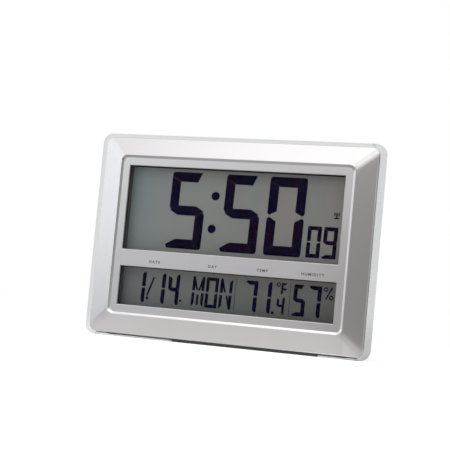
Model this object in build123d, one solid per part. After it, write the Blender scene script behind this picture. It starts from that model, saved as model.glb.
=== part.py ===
from build123d import *

import math
import os

# Radio-controlled digital wall clock, standing upright on its fold-out stand.
# Millimetres. X runs to the viewer's right, Y from the front to the back and Z up.
# While the pieces are made, depth 0 is the face of the display panel, so the ridge
# round the panel lies in front of 0 and everything else behind it. The last step
# moves the whole clock so that the middle of its footprint is at X 0, Y 0.

# Front: windows, panel, raised ridge and sloping frame
WINDOW_WIDTH = 174.5
TIME_WINDOW_HEIGHT = 65.6
STATUS_WINDOW_HEIGHT = 30.1
WINDOW_BAND = 13.0
WINDOW_BEVEL = 0.5
PANEL_BORDER = 5.95
PANEL_CORNER = 4.0
PANEL_THICKNESS = 2.0
STEP_WIDTH = 2.05
RIDGE_RISE = 1.0
RIDGE_FLAT = 0.4
RIDGE_CORNER = 5.0
SLOPE_SIDE = 15.8
SLOPE_END = 13.9
CHIN = 0.7
EDGE_DROP = 3.4
EDGE_LIP = 0.8
EDGE_ROUND = 0.6
BEZEL_CORNER = 6.0
BEZEL_WALL = 2.2

# Clear surround between the two halves of the case
SIDE_MARGIN = 3.95
TOP_MARGIN = 3.0
FOOT_MARGIN = 2.3
SURROUND_THICKNESS = 5.0
SURROUND_CORNER = 8.0
SURROUND_EDGE = 0.4
OPENING_SIDE = 14.0
OPENING_END = 13.75
OPENING_CORNER = 7.0

# Display stack behind the panel
LENS_THICKNESS = 1.5
SHROUD_DEPTH = 4.5
SHROUD_SETBACK = 0.4
HOLDER_WALL = 1.5
GLASS_CLEARANCE = 0.3
GLASS_OVERLAP = 3.1
POLARISER_THICKNESS = 0.2
POLARISER_INSET = 1.0
PANE_THICKNESS = 1.1
CONTACT_LEDGE = 5.0
CONNECTOR_WIDTH = 2.6
CONNECTOR_END_GAP = 8.0
BOARD_GAP = 4.1
BOARD_THICKNESS = 1.6

# Rear case
REAR_SIDE_INSET = 11.0
REAR_TOP_INSET = 4.75
REAR_FOOT_INSET = 1.0
REAR_CORNER = 9.0
REAR_DRAFT = 2.0
REAR_BACK = 32.0
REAR_WALL = 2.0
REAR_EDGE = 3.0

# Screws that join the halves, the display and the board
CASE_SCREW_SIDE = 8.2
CASE_SCREW_END = 22.0
BOSS_RADIUS = 3.0
POST_RADIUS = 4.0
POST_DEPTH = 14.0
CASE_HEAD_RADIUS = 2.7
CASE_HEAD_HEIGHT = 1.8
CASE_SHANK_RADIUS = 1.3
CASE_SCREW_LENGTH = 10.0
HEAD_SEAT_WALL = 3.5
HEAD_CLEARANCE = 0.5
SHANK_CLEARANCE = 0.2
BOSS_GAP = 0.2
PILOT_SPARE = 1.0
SMALL_HEAD_RADIUS = 2.2
SMALL_HEAD_HEIGHT = 1.3
SMALL_SHANK_RADIUS = 0.9
SMALL_SCREW_LENGTH = 5.0
HEAD_DOME_SHARE = 0.45
CROSS_SPAN_SHARE = 1.1
CROSS_WIDTH_SHARE = 0.28
CROSS_DEPTH_SHARE = 0.6
EAR_RADIUS = 2.6
EAR_THICKNESS = 2.0
EAR_OFFSET = 3.1
BOARD_EAR_X = 62.0
HOLDER_EAR_X = 30.0
SIDE_EAR_RISE = 4.0

# Main board and what is on it
BOARD_WIDTH = 176.0
BOARD_GAP_BELOW = 1.0
CHIP_RADIUS = 8.0
CHIP_HEIGHT = 1.8
CHIP_EDGE = 1.4
CHIP_X = 66.0
CRYSTAL_RADIUS = 1.0
CRYSTAL_LENGTH = 6.0
CRYSTAL_X = 45.0
CRYSTAL_INSET = 3.0
CAPACITOR_RADIUS = 2.5
CAPACITOR_HEIGHT = 5.5
CAPACITOR_EDGE = 0.5
CAPACITOR_COUNT = 2
CAPACITOR_X = -66.0
CAPACITOR_PITCH = 9.0
SWITCH_SIZE = 6.0
SWITCH_BODY = 3.5
SWITCH_PLUNGER_RADIUS = 1.7
SWITCH_PLUNGER = 1.5

# Buttons in a row on the back
BUTTON_NAMES = ("mode", "set", "up", "down", "unit", "receive")
BUTTON_PITCH = 20.0
BUTTON_RISE = 11.0
BUTTON_LENGTH = 12.0
BUTTON_BREADTH = 6.5
BUTTON_CORNER = 3.0
BUTTON_CLEARANCE = 0.3
BUTTON_SINK = 0.3
BUTTON_CROWN = 0.6
BUTTON_FLANGE = 1.2
BUTTON_FLANGE_LAP = 1.2
BUTTON_STEM_RADIUS = 1.9
BUTTON_TRAVEL = 0.5
BUTTON_FREE_PLAY = 0.1

# Battery bay and door
CELL_RADIUS = 7.25
CELL_BODY = 49.2
CELL_NUB_RADIUS = 2.7
CELL_NUB = 1.0
CELL_EDGE = 0.8
CELL_GAP = 0.8
CELL_CLEARANCE = 0.35
BAY_WALL = 1.6
BAY_GAP = 1.5
DOOR_THICKNESS = 2.0
DOOR_LAP = 1.7
DOOR_CLEARANCE = 0.3
DOOR_CORNER = 2.0
DOOR_TAB_WIDTH = 8.0
DOOR_TAB_REACH = 1.6
DOOR_TAB_THICKNESS = 1.2
DOOR_TAB_SPAN = 36.0
DOOR_TAB_SWING = 1.6
DOOR_TAB_ROOT = 2.0
LATCH_WIDTH = 14.0
LATCH_REACH = 2.2
LATCH_SLIT = 0.8
LATCH_ARM = 8.0
GRIP_COUNT = 4
GRIP_PITCH = 2.2
GRIP_DEPTH = 0.5
GRIP_LENGTH = 9.8
GRIP_INSET = 1.6
CONTACT_THICKNESS = 0.4
CONTACT_SIZE = 11.0
TAB_WIDTH = 3.0
TAB_REACH = 3.0
TAB_CLEARANCE = 0.2
SPRING_LENGTH = 6.5
SPRING_WIRE = 0.4
SPRING_TURNS = 4
SPRING_TOP_RADIUS = 2.6
SPRING_BASE_RADIUS = 4.6

# Fold-out stand
STAND_WIDTH = 103.0
STAND_REACH = 60.0
STAND_THICKNESS = 3.2
STAND_CORNER = 7.0
STAND_LIFT = 0.3
STAND_CLEARANCE = 0.4
KNUCKLE_RADIUS = 5.1
KNUCKLE_LENGTH = 20.0
PIN_RADIUS = 1.8
PIN_REACH = 2.8
PIN_ROOT = 1.0
PIN_CLEARANCE = 0.08
SOCKET_WALL = 4.4
HINGE_EAR_WALL = 1.8
STAND_POCKET = 1.3
STAND_BORDER = 4.0
STAND_RIB = 2.4
STAND_RIB_COUNT = 3
NOTCH_WIDTH = 26.0
NOTCH_DEPTH = 4.0
PAD_LENGTH = 22.0
PAD_BREADTH = 7.0
PAD_SINK = 0.8
PAD_CORNER = 2.3
PAD_INSET = 6.0

# Aerial, receiver board and air sensor
ROD_RADIUS = 5.0
ROD_LENGTH = 90.0
ROD_DEPTH = 17.6
ROD_HEIGHT = 45.0
COIL_RADIUS = 6.2
COIL_LENGTH = 40.0
CLIP_LENGTH = 6.0
CLIP_WALL = 2.0
CLIP_END = 5.0
CLIP_MOUTH = 8.4
CLIP_ARM = 3.0
RECEIVER_X = 74.0
RECEIVER_WIDTH = 24.0
SENSOR_X = -76.0
SENSOR_WIDTH = 18.0
SMALL_BOARD_HEIGHT = 20.0
SMALL_BOARD_THICKNESS = 1.2
SMALL_BOARD_Z = 45.0
PEG_RADIUS = 1.6
PEG_LENGTH = 5.0
PEG_INSET = 3.0
RECEIVER_CHIP = 7.0
RECEIVER_CHIP_HEIGHT = 1.4
HUMIDITY_WIDTH = 9.0
HUMIDITY_HEIGHT = 6.0
HUMIDITY_DEPTH = 3.2
HUMIDITY_RISE = 1.5
THERMISTOR_RADIUS = 1.2
THERMISTOR_LENGTH = 3.0
SENSOR_SHIFT = 1.0
VENT_LENGTH = 22.0
VENT_BREADTH = 2.0
VENT_PITCH = 4.6
VENT_COUNT = 5

# Wires inside the case
LEAD_RADIUS = 0.6
LEAD_BEND = 2.5
FINE_LEAD_RADIUS = 0.35
FINE_LEAD_BEND = 2.0
BLACK_LEAD_REACH = 6.0
RED_LEAD_REACH = 11.0
LEAD_LANDING = 5.0
FINE_LEAD_LANDING = 8.0
FINE_LEAD_PITCH = 4.0
AERIAL_LEAD_START = 6.0
AERIAL_LEAD_CLEAR = 3.0
AERIAL_LEAD_RISE = 0.5

# Keyhole for a wall screw
KEYHOLE_ABOVE_BUTTONS = 18.5
KEYHOLE_RADIUS = 4.25
KEYHOLE_SLOT = 4.4
KEYHOLE_RISE = 8.0

# Outlines that follow from the windows outwards
PANEL_WIDTH = WINDOW_WIDTH + 2 * PANEL_BORDER
PANEL_HEIGHT = TIME_WINDOW_HEIGHT + WINDOW_BAND + STATUS_WINDOW_HEIGHT + 2 * PANEL_BORDER
RIDGE_WIDTH = PANEL_WIDTH + 2 * STEP_WIDTH
RIDGE_HEIGHT = PANEL_HEIGHT + 2 * STEP_WIDTH
BEZEL_WIDTH = RIDGE_WIDTH + 2 * SLOPE_SIDE
BEZEL_HEIGHT = RIDGE_HEIGHT + 2 * SLOPE_END + CHIN
SURROUND_WIDTH = BEZEL_WIDTH + 2 * SIDE_MARGIN
SURROUND_HEIGHT = BEZEL_HEIGHT + TOP_MARGIN + FOOT_MARGIN
OPENING_WIDTH = SURROUND_WIDTH - 2 * OPENING_SIDE
OPENING_HEIGHT = SURROUND_HEIGHT - 2 * OPENING_END
REAR_WIDTH = SURROUND_WIDTH - 2 * REAR_SIDE_INSET
REAR_HEIGHT = SURROUND_HEIGHT - REAR_TOP_INSET - REAR_FOOT_INSET
CASE_SCREW_SPAN = REAR_WIDTH - 2 * CASE_SCREW_SIDE
CASE_SCREW_RISE = SURROUND_HEIGHT / 2 - CASE_SCREW_END
MIDDLE = SURROUND_HEIGHT / 2
BEZEL_Z = MIDDLE + (FOOT_MARGIN - TOP_MARGIN) / 2
REAR_Z = MIDDLE + (REAR_FOOT_INSET - REAR_TOP_INSET) / 2
TIME_WINDOW_Z = MIDDLE + PANEL_HEIGHT / 2 - PANEL_BORDER - TIME_WINDOW_HEIGHT / 2
STATUS_WINDOW_Z = MIDDLE - PANEL_HEIGHT / 2 + PANEL_BORDER + STATUS_WINDOW_HEIGHT / 2

# Depths, from the front of the panel to the back of the case
SURROUND_FRONT = EDGE_DROP + EDGE_LIP
SURROUND_BACK = SURROUND_FRONT + SURROUND_THICKNESS
LENS_BACK = PANEL_THICKNESS + LENS_THICKNESS
DISPLAY_FRONT = LENS_BACK + SHROUD_DEPTH
PANE_FRONT = DISPLAY_FRONT + POLARISER_THICKNESS
PANE_JOIN = PANE_FRONT + PANE_THICKNESS
PANE_BACK = PANE_JOIN + PANE_THICKNESS
REFLECTOR_BACK = PANE_BACK + POLARISER_THICKNESS
BOARD_FRONT = PANE_JOIN + BOARD_GAP
BOARD_BACK = BOARD_FRONT + BOARD_THICKNESS
CASE_INSIDE = REAR_BACK - REAR_WALL
SMALL_BOARD_BACK = CASE_INSIDE - PEG_LENGTH
SMALL_BOARD_FRONT = SMALL_BOARD_BACK - SMALL_BOARD_THICKNESS

# Display sizes
GLASS_WIDTH = WINDOW_WIDTH + 2 * GLASS_OVERLAP
GLASS_HEIGHT = PANEL_HEIGHT - 2 * PANEL_BORDER + 2 * GLASS_OVERLAP
HOLDER_WIDTH = GLASS_WIDTH + 2 * (GLASS_CLEARANCE + HOLDER_WALL)
HOLDER_HEIGHT = GLASS_HEIGHT + 2 * (GLASS_CLEARANCE + HOLDER_WALL)
GLASS_TOP = MIDDLE + GLASS_HEIGHT / 2
HOLDER_TOP = MIDDLE + HOLDER_HEIGHT / 2
HOLDER_BOTTOM = MIDDLE - HOLDER_HEIGHT / 2
SIDE_EAR_X = HOLDER_WIDTH / 2 + EAR_OFFSET

# Stand hinge: the knuckle's underside is the plate's underside
HINGE_Z = STAND_LIFT + KNUCKLE_RADIUS
HINGE_DEPTH = REAR_BACK - STAND_LIFT / 2 - KNUCKLE_RADIUS
STAND_SLOT_FLOOR = HINGE_DEPTH + KNUCKLE_RADIUS - STAND_THICKNESS - STAND_CLEARANCE
STAND_SLOT_TOP = HINGE_Z + STAND_REACH + STAND_CLEARANCE

# Battery bay above the stand's recess: a cell, its spring and a contact at each end
BAY_LENGTH = CELL_BODY + CELL_NUB + SPRING_LENGTH + 2 * CONTACT_THICKNESS
CELL_PITCH = 2 * CELL_RADIUS + CELL_GAP
BAY_HEIGHT = CELL_PITCH + 2 * (CELL_RADIUS + CELL_CLEARANCE)
DOOR_HEIGHT = BAY_HEIGHT + 2 * DOOR_LAP
BAY_BASE = STAND_SLOT_TOP + REAR_WALL + BAY_GAP + DOOR_TAB_REACH
BAY_CENTRE = BAY_BASE + DOOR_HEIGHT / 2
UPPER_CELL_Z = BAY_CENTRE + CELL_PITCH / 2
LOWER_CELL_Z = BAY_CENTRE - CELL_PITCH / 2
DOOR_FRONT = REAR_BACK - DOOR_THICKNESS
CELL_DEPTH = DOOR_FRONT - CELL_CLEARANCE - CELL_RADIUS
BAY_FLOOR = CELL_DEPTH - CELL_RADIUS - CELL_CLEARANCE
DOOR_WIDTH = BAY_LENGTH + 2 * DOOR_LAP
DOOR_BOTTOM = BAY_CENTRE - DOOR_HEIGHT / 2
DOOR_TOP = BAY_CENTRE + DOOR_HEIGHT / 2
DOOR_HINGE_DEPTH = (DOOR_FRONT + REAR_BACK) / 2
DOOR_HINGE_Z = DOOR_BOTTOM + DOOR_THICKNESS / 2

# Main board above the battery bay, with the buttons and the keyhole level with it
BOARD_TOP = HOLDER_TOP
BOARD_BOTTOM = DOOR_TOP + BAY_WALL + BOARD_GAP_BELOW
BOARD_HEIGHT = BOARD_TOP - BOARD_BOTTOM
SIDE_EAR_Z = BOARD_BOTTOM + SIDE_EAR_RISE
BUTTON_Z = BOARD_BOTTOM + BUTTON_RISE
KEYHOLE_Z = BUTTON_Z + KEYHOLE_ABOVE_BUTTONS


def at_depth(depth):
    """Sketch plane at a depth, with X to the right and its second axis up."""
    return Plane.XZ.offset(-depth)


def slab(sketch, front, back):
    """Sketch carried straight back from one depth to another."""
    return extrude(at_depth(front) * sketch, amount=front - back)


def taper(front_sketch, front, back_sketch, back):
    """Straight-sided body between two outlines at two depths."""
    return loft([at_depth(front) * front_sketch, at_depth(back) * back_sketch], ruled=True)


def rounded(width, height, corner, x=0.0, z=MIDDLE):
    return Pos(x, z) * RectangleRounded(width, height, corner)


def oblong(width, height, x, z):
    return Pos(x, z) * Rectangle(width, height)


def disc(radius, x, z):
    return Pos(x, z) * Circle(radius)


def bar_along_x(radius, left, right, depth, z):
    """Round bar from left to right."""
    return extrude(Plane.YZ.offset(left) * Pos(depth, z) * Circle(radius), amount=right - left)


def block(left, right, front, back, bottom, top):
    centre = Pos((left + right) / 2, (front + back) / 2, (bottom + top) / 2)
    return centre * Box(right - left, back - front, top - bottom)


def window_sketch(widening=0.0):
    """Both display windows, each made larger all round by the widening."""
    width = WINDOW_WIDTH + 2 * widening
    time_window = oblong(width, TIME_WINDOW_HEIGHT + 2 * widening, 0, TIME_WINDOW_Z)
    status_window = oblong(width, STATUS_WINDOW_HEIGHT + 2 * widening, 0, STATUS_WINDOW_Z)
    return [time_window, status_window]


def case_screw_places():
    heights = (MIDDLE - CASE_SCREW_RISE, MIDDLE, MIDDLE + CASE_SCREW_RISE)
    return [(side * CASE_SCREW_SPAN / 2, z) for side in (-1, 1) for z in heights]


def board_screw_places():
    top = [(side * BOARD_EAR_X, HOLDER_TOP + EAR_OFFSET) for side in (-1, 1)]
    sides = [(side * SIDE_EAR_X, SIDE_EAR_Z) for side in (-1, 1)]
    return top + sides


def holder_screw_places():
    top = [(side * HOLDER_EAR_X, HOLDER_TOP + EAR_OFFSET) for side in (-1, 1)]
    bottom = [(side * HOLDER_EAR_X, HOLDER_BOTTOM - EAR_OFFSET) for side in (-1, 1)]
    return top + bottom


def button_places():
    start = -BUTTON_PITCH * (len(BUTTON_NAMES) - 1) / 2
    return [(start + index * BUTTON_PITCH, BUTTON_Z) for index in range(len(BUTTON_NAMES))]


def pan_screw(x, z, head_front, head_radius, head_height, shank_radius, length):
    """Pan-head screw driven from the back, with a domed head edge and a cross recess."""
    head = slab(disc(head_radius, x, z), head_front, head_front + head_height)
    rim = head.edges().filter_by(GeomType.CIRCLE).sort_by(Axis.Y)[-1]
    head = fillet(rim, head_height * HEAD_DOME_SHARE)
    shank = slab(disc(shank_radius, x, z), head_front - length, head_front)
    slot_length = head_radius * CROSS_SPAN_SHARE
    slot_width = head_radius * CROSS_WIDTH_SHARE
    cross = oblong(slot_length, slot_width, x, z) + oblong(slot_width, slot_length, x, z)
    head_back = head_front + head_height
    recess = slab(cross, head_back - head_height * CROSS_DEPTH_SHARE, head_back)
    return head + shank - recess


def make_front_bezel():
    """Moulded front: sloping frame, raised ridge, sunk panel and two windows."""
    foot = rounded(BEZEL_WIDTH, BEZEL_HEIGHT, BEZEL_CORNER, 0, BEZEL_Z)
    crest = rounded(RIDGE_WIDTH, RIDGE_HEIGHT, RIDGE_CORNER)
    body = taper(crest, -RIDGE_RISE, foot, EDGE_DROP) + slab(foot, EDGE_DROP, SURROUND_FRONT)
    slack = EDGE_ROUND / 10
    foot_edges = body.edges().filter_by_position(Axis.Y, EDGE_DROP - slack, EDGE_DROP + slack)
    body = fillet(foot_edges, EDGE_ROUND)

    flat = 2 * RIDGE_FLAT
    mouth = rounded(RIDGE_WIDTH - flat, RIDGE_HEIGHT - flat, RIDGE_CORNER - RIDGE_FLAT)
    panel = rounded(PANEL_WIDTH, PANEL_HEIGHT, PANEL_CORNER)
    body -= taper(mouth, -RIDGE_RISE, panel, 0)

    walls = 2 * BEZEL_WALL
    hollow_corner = BEZEL_CORNER - BEZEL_WALL
    hollow_back = rounded(BEZEL_WIDTH - walls, BEZEL_HEIGHT - walls, hollow_corner, 0, BEZEL_Z)
    hollow_front = rounded(RIDGE_WIDTH, RIDGE_HEIGHT, RIDGE_CORNER)
    body -= taper(hollow_front, PANEL_THICKNESS, hollow_back, SURROUND_FRONT)

    for wide, plain in zip(window_sketch(WINDOW_BEVEL), window_sketch()):
        body -= taper(wide, 0, plain, WINDOW_BEVEL)
        body -= slab(plain, 0, PANEL_THICKNESS)

    boss_back = CASE_INSIDE - POST_DEPTH - BOSS_GAP
    for x, z in case_screw_places():
        body += slab(disc(BOSS_RADIUS, x, z), PANEL_THICKNESS, boss_back)
        pilot_front = CASE_INSIDE - POST_DEPTH + HEAD_SEAT_WALL - CASE_SCREW_LENGTH - PILOT_SPARE
        body -= slab(disc(CASE_SHANK_RADIUS, x, z), pilot_front, boss_back)
    ear_front = LENS_BACK + SHROUD_DEPTH - EAR_THICKNESS
    for x, z in holder_screw_places():
        body += slab(disc(EAR_RADIUS, x, z), PANEL_THICKNESS, ear_front)
        body -= slab(disc(SMALL_SHANK_RADIUS, x, z), PANEL_THICKNESS, ear_front)
    return body


def make_clear_surround():
    """Clear acrylic frame that shows as a rim all round the front."""
    outline = rounded(SURROUND_WIDTH, SURROUND_HEIGHT, SURROUND_CORNER)
    ring = slab(outline, SURROUND_FRONT, SURROUND_BACK)
    faces = ring.faces().sort_by(Axis.Y)
    ring = chamfer(faces[0].edges() + faces[-1].edges(), SURROUND_EDGE)
    opening = rounded(OPENING_WIDTH, OPENING_HEIGHT, OPENING_CORNER)
    return ring - slab(opening, SURROUND_FRONT, SURROUND_BACK)


def make_display_lens():
    """Clear cover sheet behind the windows."""
    return slab(rounded(HOLDER_WIDTH, HOLDER_HEIGHT, PANEL_CORNER / 2), PANEL_THICKNESS, LENS_BACK)


def make_lcd_holder():
    """Black tray whose deep window walls shade the display, with ears for its screws."""
    outline = rounded(HOLDER_WIDTH, HOLDER_HEIGHT, PANEL_CORNER / 2)
    tray = slab(outline, LENS_BACK, BOARD_FRONT)
    pocket = oblong(GLASS_WIDTH + 2 * GLASS_CLEARANCE, GLASS_HEIGHT + 2 * GLASS_CLEARANCE, 0, MIDDLE)
    tray -= slab(pocket, DISPLAY_FRONT, BOARD_FRONT)
    for opening in window_sketch(SHROUD_SETBACK):
        tray -= slab(opening, LENS_BACK, DISPLAY_FRONT)
    for x, z in board_screw_places():
        side = math.copysign(1, x)
        post = disc(EAR_RADIUS, x, z)
        if z > HOLDER_TOP:
            post += oblong(2 * EAR_RADIUS, EAR_OFFSET, x, z - EAR_OFFSET / 2)
        else:
            post += oblong(EAR_OFFSET, 2 * EAR_RADIUS, x - side * EAR_OFFSET / 2, z)
        tray += slab(post, DISPLAY_FRONT - EAR_THICKNESS, BOARD_FRONT)
        tray -= slab(disc(SMALL_SHANK_RADIUS, x, z), BOARD_FRONT - SMALL_SCREW_LENGTH, BOARD_FRONT)
    for x, z in holder_screw_places():
        root = EAR_OFFSET / 2 if z < MIDDLE else -EAR_OFFSET / 2
        ear = disc(EAR_RADIUS, x, z) + oblong(2 * EAR_RADIUS, EAR_OFFSET, x, z + root)
        tray += slab(ear, DISPLAY_FRONT - EAR_THICKNESS, DISPLAY_FRONT)
        tray -= slab(disc(SMALL_SHANK_RADIUS, x, z), DISPLAY_FRONT - EAR_THICKNESS, DISPLAY_FRONT)
    return tray


def make_display():
    """Front polariser, the two panes and the reflector of the liquid-crystal display."""
    inset = 2 * POLARISER_INSET
    rear_height = GLASS_HEIGHT - CONTACT_LEDGE
    rear_z = MIDDLE - CONTACT_LEDGE / 2
    polariser = oblong(GLASS_WIDTH - inset, GLASS_HEIGHT - inset, 0, MIDDLE)
    reflector = oblong(GLASS_WIDTH - inset, rear_height - inset, 0, rear_z)
    return {
        "front_polariser": slab(polariser, DISPLAY_FRONT, PANE_FRONT),
        "lcd_front_glass": slab(oblong(GLASS_WIDTH, GLASS_HEIGHT, 0, MIDDLE), PANE_FRONT, PANE_JOIN),
        "lcd_rear_glass": slab(oblong(GLASS_WIDTH, rear_height, 0, rear_z), PANE_JOIN, PANE_BACK),
        "rear_reflector": slab(reflector, PANE_BACK, REFLECTOR_BACK),
    }


def make_zebra_strip():
    """Striped rubber connector squeezed between the display's ledge and the board."""
    width = GLASS_WIDTH - 2 * CONNECTOR_END_GAP
    z = GLASS_TOP - CONTACT_LEDGE / 2
    return slab(oblong(width, CONNECTOR_WIDTH, 0, z), PANE_JOIN, BOARD_FRONT)


def make_main_board():
    """Circuit board held to the display tray by four screws."""
    outline = oblong(BOARD_WIDTH, BOARD_HEIGHT, 0, BOARD_BOTTOM + BOARD_HEIGHT / 2)
    for x, z in board_screw_places():
        outline += disc(EAR_RADIUS, x, z)
        if z > BOARD_TOP:
            outline += oblong(2 * EAR_RADIUS, EAR_OFFSET, x, z - EAR_OFFSET / 2)
        else:
            reach = abs(x) - BOARD_WIDTH / 2
            side = math.copysign(1, x)
            outline += oblong(reach, 2 * EAR_RADIUS, x - side * reach / 2, z)
    for x, z in board_screw_places():
        outline -= disc(SMALL_SHANK_RADIUS + SHANK_CLEARANCE, x, z)
    return slab(outline, BOARD_FRONT, BOARD_BACK)


def make_board_parts():
    """Sealed controller, crystal and capacitors on the back of the main board."""
    chip_z = BUTTON_Z + CHIP_RADIUS / 2
    chip = slab(disc(CHIP_RADIUS, CHIP_X, chip_z), BOARD_BACK, BOARD_BACK + CHIP_HEIGHT)
    chip = fillet(chip.edges().sort_by(Axis.Y)[-1], CHIP_EDGE)
    crystal_z = BOARD_BOTTOM + CRYSTAL_INSET
    crystal_depth = BOARD_BACK + CRYSTAL_RADIUS
    crystal_end = CRYSTAL_X + CRYSTAL_LENGTH
    crystal = bar_along_x(CRYSTAL_RADIUS, CRYSTAL_X, crystal_end, crystal_depth, crystal_z)
    capacitors = []
    for index in range(CAPACITOR_COUNT):
        can = disc(CAPACITOR_RADIUS, CAPACITOR_X - index * CAPACITOR_PITCH, BUTTON_Z)
        can = slab(can, BOARD_BACK, BOARD_BACK + CAPACITOR_HEIGHT)
        capacitors.append(fillet(can.edges().sort_by(Axis.Y)[-1], CAPACITOR_EDGE))
    return {"controller_chip": chip, "crystal_can": crystal, "board_capacitors": capacitors}


def make_tact_switches():
    """Six small push switches under the buttons."""
    switches = []
    for x, z in button_places():
        body = slab(oblong(SWITCH_SIZE, SWITCH_SIZE, x, z), BOARD_BACK, BOARD_BACK + SWITCH_BODY)
        plunger_front = BOARD_BACK + SWITCH_BODY
        plunger = slab(disc(SWITCH_PLUNGER_RADIUS, x, z), plunger_front, plunger_front + SWITCH_PLUNGER)
        switches.append(body + plunger)
    return switches


def make_button(x, z):
    """Long-stemmed button: crowned cap in its hole, inner flange and stem."""
    cap_back = REAR_BACK - BUTTON_SINK
    flange_back = CASE_INSIDE - BUTTON_CLEARANCE
    flange_front = flange_back - BUTTON_FLANGE
    cap = slab(rounded(BUTTON_LENGTH, BUTTON_BREADTH, BUTTON_CORNER, x, z), flange_front, cap_back)
    cap = fillet(cap.faces().sort_by(Axis.Y)[-1].edges(), BUTTON_CROWN)
    lap = 2 * BUTTON_FLANGE_LAP
    flange = rounded(BUTTON_LENGTH + lap, BUTTON_BREADTH + lap, BUTTON_CORNER, x, z)
    flange = slab(flange, flange_front, flange_back)
    stem_front = BOARD_BACK + SWITCH_BODY + SWITCH_PLUNGER + BUTTON_TRAVEL + BUTTON_FREE_PLAY
    stem = slab(disc(BUTTON_STEM_RADIUS, x, z), stem_front, flange_front)
    return cap + flange + stem


def rear_shell():
    """Drafted rear moulding, hollow, with softened back edges."""
    mouth = rounded(REAR_WIDTH, REAR_HEIGHT, REAR_CORNER, 0, REAR_Z)
    draft = 2 * REAR_DRAFT
    back_corner = REAR_CORNER - REAR_DRAFT
    back = rounded(REAR_WIDTH - draft, REAR_HEIGHT - draft, back_corner, 0, REAR_Z)
    outer = taper(mouth, SURROUND_BACK, back, REAR_BACK)
    outer = fillet(outer.faces().sort_by(Axis.Y)[-1].edges(), REAR_EDGE)
    wall = 2 * REAR_WALL
    mouth_corner = REAR_CORNER - REAR_WALL
    inner_mouth = rounded(REAR_WIDTH - wall, REAR_HEIGHT - wall, mouth_corner, 0, REAR_Z)
    inner_corner = back_corner - REAR_WALL
    inset = draft + wall
    inner_back = rounded(REAR_WIDTH - inset, REAR_HEIGHT - inset, inner_corner, 0, REAR_Z)
    return outer, outer - taper(inner_mouth, SURROUND_BACK, inner_back, CASE_INSIDE)


def add_stand_recess(outer, case):
    """Recess that takes the folded stand, with the round seat and sockets of its hinge."""
    seat_radius = KNUCKLE_RADIUS + STAND_CLEARANCE
    half = STAND_WIDTH / 2 + STAND_CLEARANCE
    base = REAR_Z - REAR_HEIGHT / 2
    seat_front = HINGE_DEPTH - seat_radius - REAR_WALL
    seat_top = HINGE_Z + seat_radius + REAR_WALL
    seat_wall = block(-half - SOCKET_WALL, half + SOCKET_WALL, seat_front, REAR_BACK, base, seat_top)
    slot_front = STAND_SLOT_FLOOR - REAR_WALL
    slot_half = half + REAR_WALL
    slot_wall_top = STAND_SLOT_TOP + REAR_WALL
    slot_wall = block(-slot_half, slot_half, slot_front, REAR_BACK, base, slot_wall_top)
    case += outer & (seat_wall + slot_wall)
    ear_radius = PIN_RADIUS + PIN_CLEARANCE + HINGE_EAR_WALL
    case += bar_along_x(ear_radius, half, half + SOCKET_WALL, HINGE_DEPTH, HINGE_Z)
    case += bar_along_x(ear_radius, -half - SOCKET_WALL, -half, HINGE_DEPTH, HINGE_Z)
    case -= bar_along_x(seat_radius, -half, half, HINGE_DEPTH, HINGE_Z)
    case -= block(-half, half, HINGE_DEPTH - seat_radius, REAR_BACK, 0, HINGE_Z)
    case -= block(-half, half, STAND_SLOT_FLOOR, REAR_BACK, 0, STAND_SLOT_TOP)
    socket_reach = STAND_WIDTH / 2 + PIN_REACH + STAND_CLEARANCE
    case -= bar_along_x(PIN_RADIUS + PIN_CLEARANCE, -socket_reach, socket_reach, HINGE_DEPTH, HINGE_Z)
    return case


def door_outline(spare):
    """Outline of the battery door, rounded at the top, made larger all round by the spare."""
    width = DOOR_WIDTH + 2 * spare
    height = DOOR_HEIGHT + 2 * spare
    lower_half = oblong(width, height / 2, 0, BAY_CENTRE - height / 4)
    return rounded(width, height, DOOR_CORNER, 0, BAY_CENTRE) + lower_half


def add_battery_bay(case):
    """Open tub for two cells, stepped for the door, with slits for its tabs and contacts."""
    half_length = BAY_LENGTH / 2
    half_height = BAY_HEIGHT / 2
    tub_front = BAY_FLOOR - BAY_WALL
    tub_half = DOOR_WIDTH / 2 + BAY_WALL
    tub_rise = DOOR_HEIGHT / 2 + BAY_WALL
    tub_bottom = BAY_CENTRE - tub_rise
    case += block(-tub_half, tub_half, tub_front, CASE_INSIDE, tub_bottom, BAY_CENTRE + tub_rise)
    bay_bottom = BAY_CENTRE - half_height
    case -= block(-half_length, half_length, BAY_FLOOR, REAR_BACK, bay_bottom, BAY_CENTRE + half_height)
    notch_width = LATCH_WIDTH + 2 * DOOR_CLEARANCE
    notch_z = DOOR_TOP + LATCH_REACH / 2 + DOOR_CLEARANCE
    seat = door_outline(DOOR_CLEARANCE) + oblong(notch_width, LATCH_REACH, 0, notch_z)
    case -= slab(seat, DOOR_FRONT, REAR_BACK)
    for x in (-DOOR_TAB_SPAN / 2, DOOR_TAB_SPAN / 2):
        half_slit = DOOR_TAB_WIDTH / 2 + DOOR_CLEARANCE
        slit_bottom = DOOR_BOTTOM - DOOR_TAB_REACH - 2 * DOOR_CLEARANCE
        slit_front = DOOR_FRONT - DOOR_TAB_THICKNESS - DOOR_TAB_SWING
        case -= block(x - half_slit, x + half_slit, slit_front, DOOR_FRONT, slit_bottom, bay_bottom)
    for z in (UPPER_CELL_Z, LOWER_CELL_Z):
        half_tab = TAB_WIDTH / 2 + TAB_CLEARANCE
        tab_half_thickness = CONTACT_THICKNESS / 2 + TAB_CLEARANCE
        tab_front = CELL_DEPTH - tab_half_thickness
        tab_back = CELL_DEPTH + tab_half_thickness
        case -= block(-tub_half, -half_length, tab_front, tab_back, z - half_tab, z + half_tab)
    return case


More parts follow.
